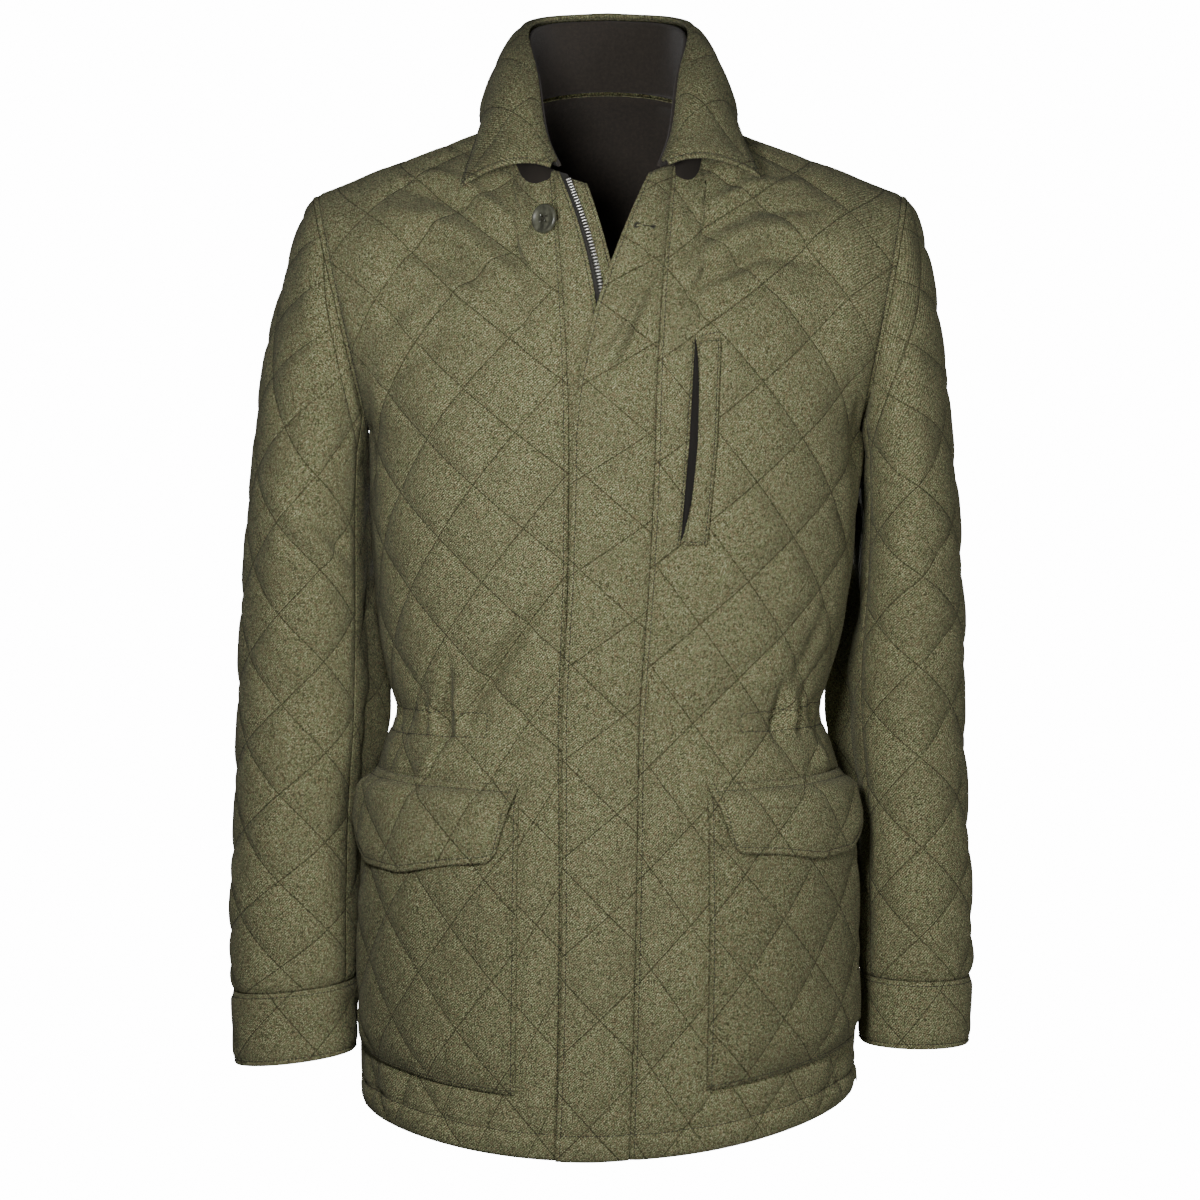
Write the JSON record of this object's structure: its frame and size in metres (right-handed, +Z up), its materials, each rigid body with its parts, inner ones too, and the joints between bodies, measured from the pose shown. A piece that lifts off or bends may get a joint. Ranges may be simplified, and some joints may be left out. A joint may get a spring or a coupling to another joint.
{
  "type": "quilted overcoat",
  "caption": "Hip-length quilted wool coat in its worn, hollow form, with a stand-and-fall collar, concealed zip front, drawn-in waist and flapped patch pockets.",
  "frame": {"origin": "middle of the neck opening, level with the inner ends of the shoulder seams, where the coat hangs on its wearer's neck and shoulders", "axes": "+Z up, -Y out of the coat's front, +X towards the wearer's left"},
  "size_m": [0.5768, 0.3082, 0.8605],
  "materials": {
    "wool": "matt wool flannel over padding",
    "brown": "dark brown under-collar cloth",
    "tape": "woven zip tape",
    "horn": "semi-gloss horn"
  },
  "bodies": {
    "root": {"front_left": "wool", "front_right": "wool", "placket_left": "wool", "underlap_right": "wool", "zip_guard": "wool", "zip_tape": "tape", "back": "wool", "sleeve_left_upper": "wool", "sleeve_left_under": "wool", "sleeve_right_upper": "wool", "sleeve_right_under": "wool", "cuff_left": "wool", "cuff_right": "wool", "collar_stand": "brown", "collar_leaf": "wool", "pocket_left": "wool", "pocket_right": "wool", "flap_left": "wool", "flap_right": "wool", "chest_welt": "wool", "button": "horn"}
  },
  "joints": []
}
